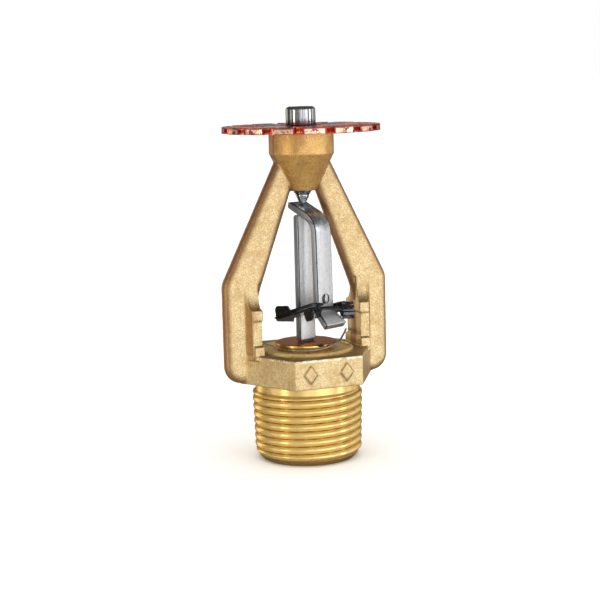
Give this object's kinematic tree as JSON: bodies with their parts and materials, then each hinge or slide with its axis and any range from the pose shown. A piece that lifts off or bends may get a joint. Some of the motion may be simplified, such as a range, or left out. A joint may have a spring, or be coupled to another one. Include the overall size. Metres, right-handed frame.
{
  "type": "fire sprinkler head",
  "caption": "Sprinkler head with threaded inlet, wrench hexagon, two-arm frame, slotted deflector and a hook-and-strut fusible link trigger.",
  "frame": {"origin": "centre of the inlet end face, on the thread's axis", "axes": "+Z along the waterway from the inlet to the deflector, +X through the two frame arms"},
  "size_m": [0.0406, 0.037, 0.0831],
  "materials": {
    "cast_brass": "shot-blasted casting with a machined thread",
    "copper": "bright red-tinted copper",
    "screw_steel": "bright turned",
    "lever_steel": "satin plated",
    "black_plating": "glossy black coating",
    "solder": "dull solder",
    "button_copper": "brown copper face with a bright edge",
    "washer_brass": "satin",
    "seal_film": "fluoropolymer film",
    "spring_wire": "drawn wire"
  },
  "bodies": {
    "frame": {"frame": "cast_brass", "deflector": "copper"},
    "compression_screw": {"compression_screw": "screw_steel"},
    "button": {"button": "button_copper", "spring_washer": "washer_brass", "seal_film_upper": "seal_film", "seal_film_lower": "seal_film", "ejection_spring": "spring_wire"},
    "strut": {"strut": "lever_steel", "link_strut_half": "black_plating", "solder_film": "solder"},
    "hook": {"hook": "lever_steel", "link_hook_half": "black_plating"}
  },
  "joints": [
    {"name": "screw_backoff", "type": "slide", "parent": "frame", "child": "compression_screw", "axis": [0, 0, 1], "range_m": [0, 0.003]},
    {"name": "button_lift", "type": "slide", "parent": "frame", "child": "button", "axis": [0, 0, 1], "range_m": [0, 0.001]},
    {"name": "strut_tilt", "type": "hinge", "parent": "button", "child": "strut", "pos_m": [0, 0, 0.02785], "axis": [-0.9205, -0.3907, 0], "range_deg": [0, 15]},
    {"name": "hook_swing", "type": "hinge", "parent": "strut", "child": "hook", "pos_m": [0.00031, -0.00074, 0.05798], "axis": [-0.9205, -0.3907, 0], "range_deg": [0, 24]}
  ],
  "couplings": [
    {"joint": "strut_tilt", "follows": "hook_swing", "ratio": 0.6},
    {"joint": "button_lift", "follows": "hook_swing", "m_per_rad": 0.0015}
  ]
}
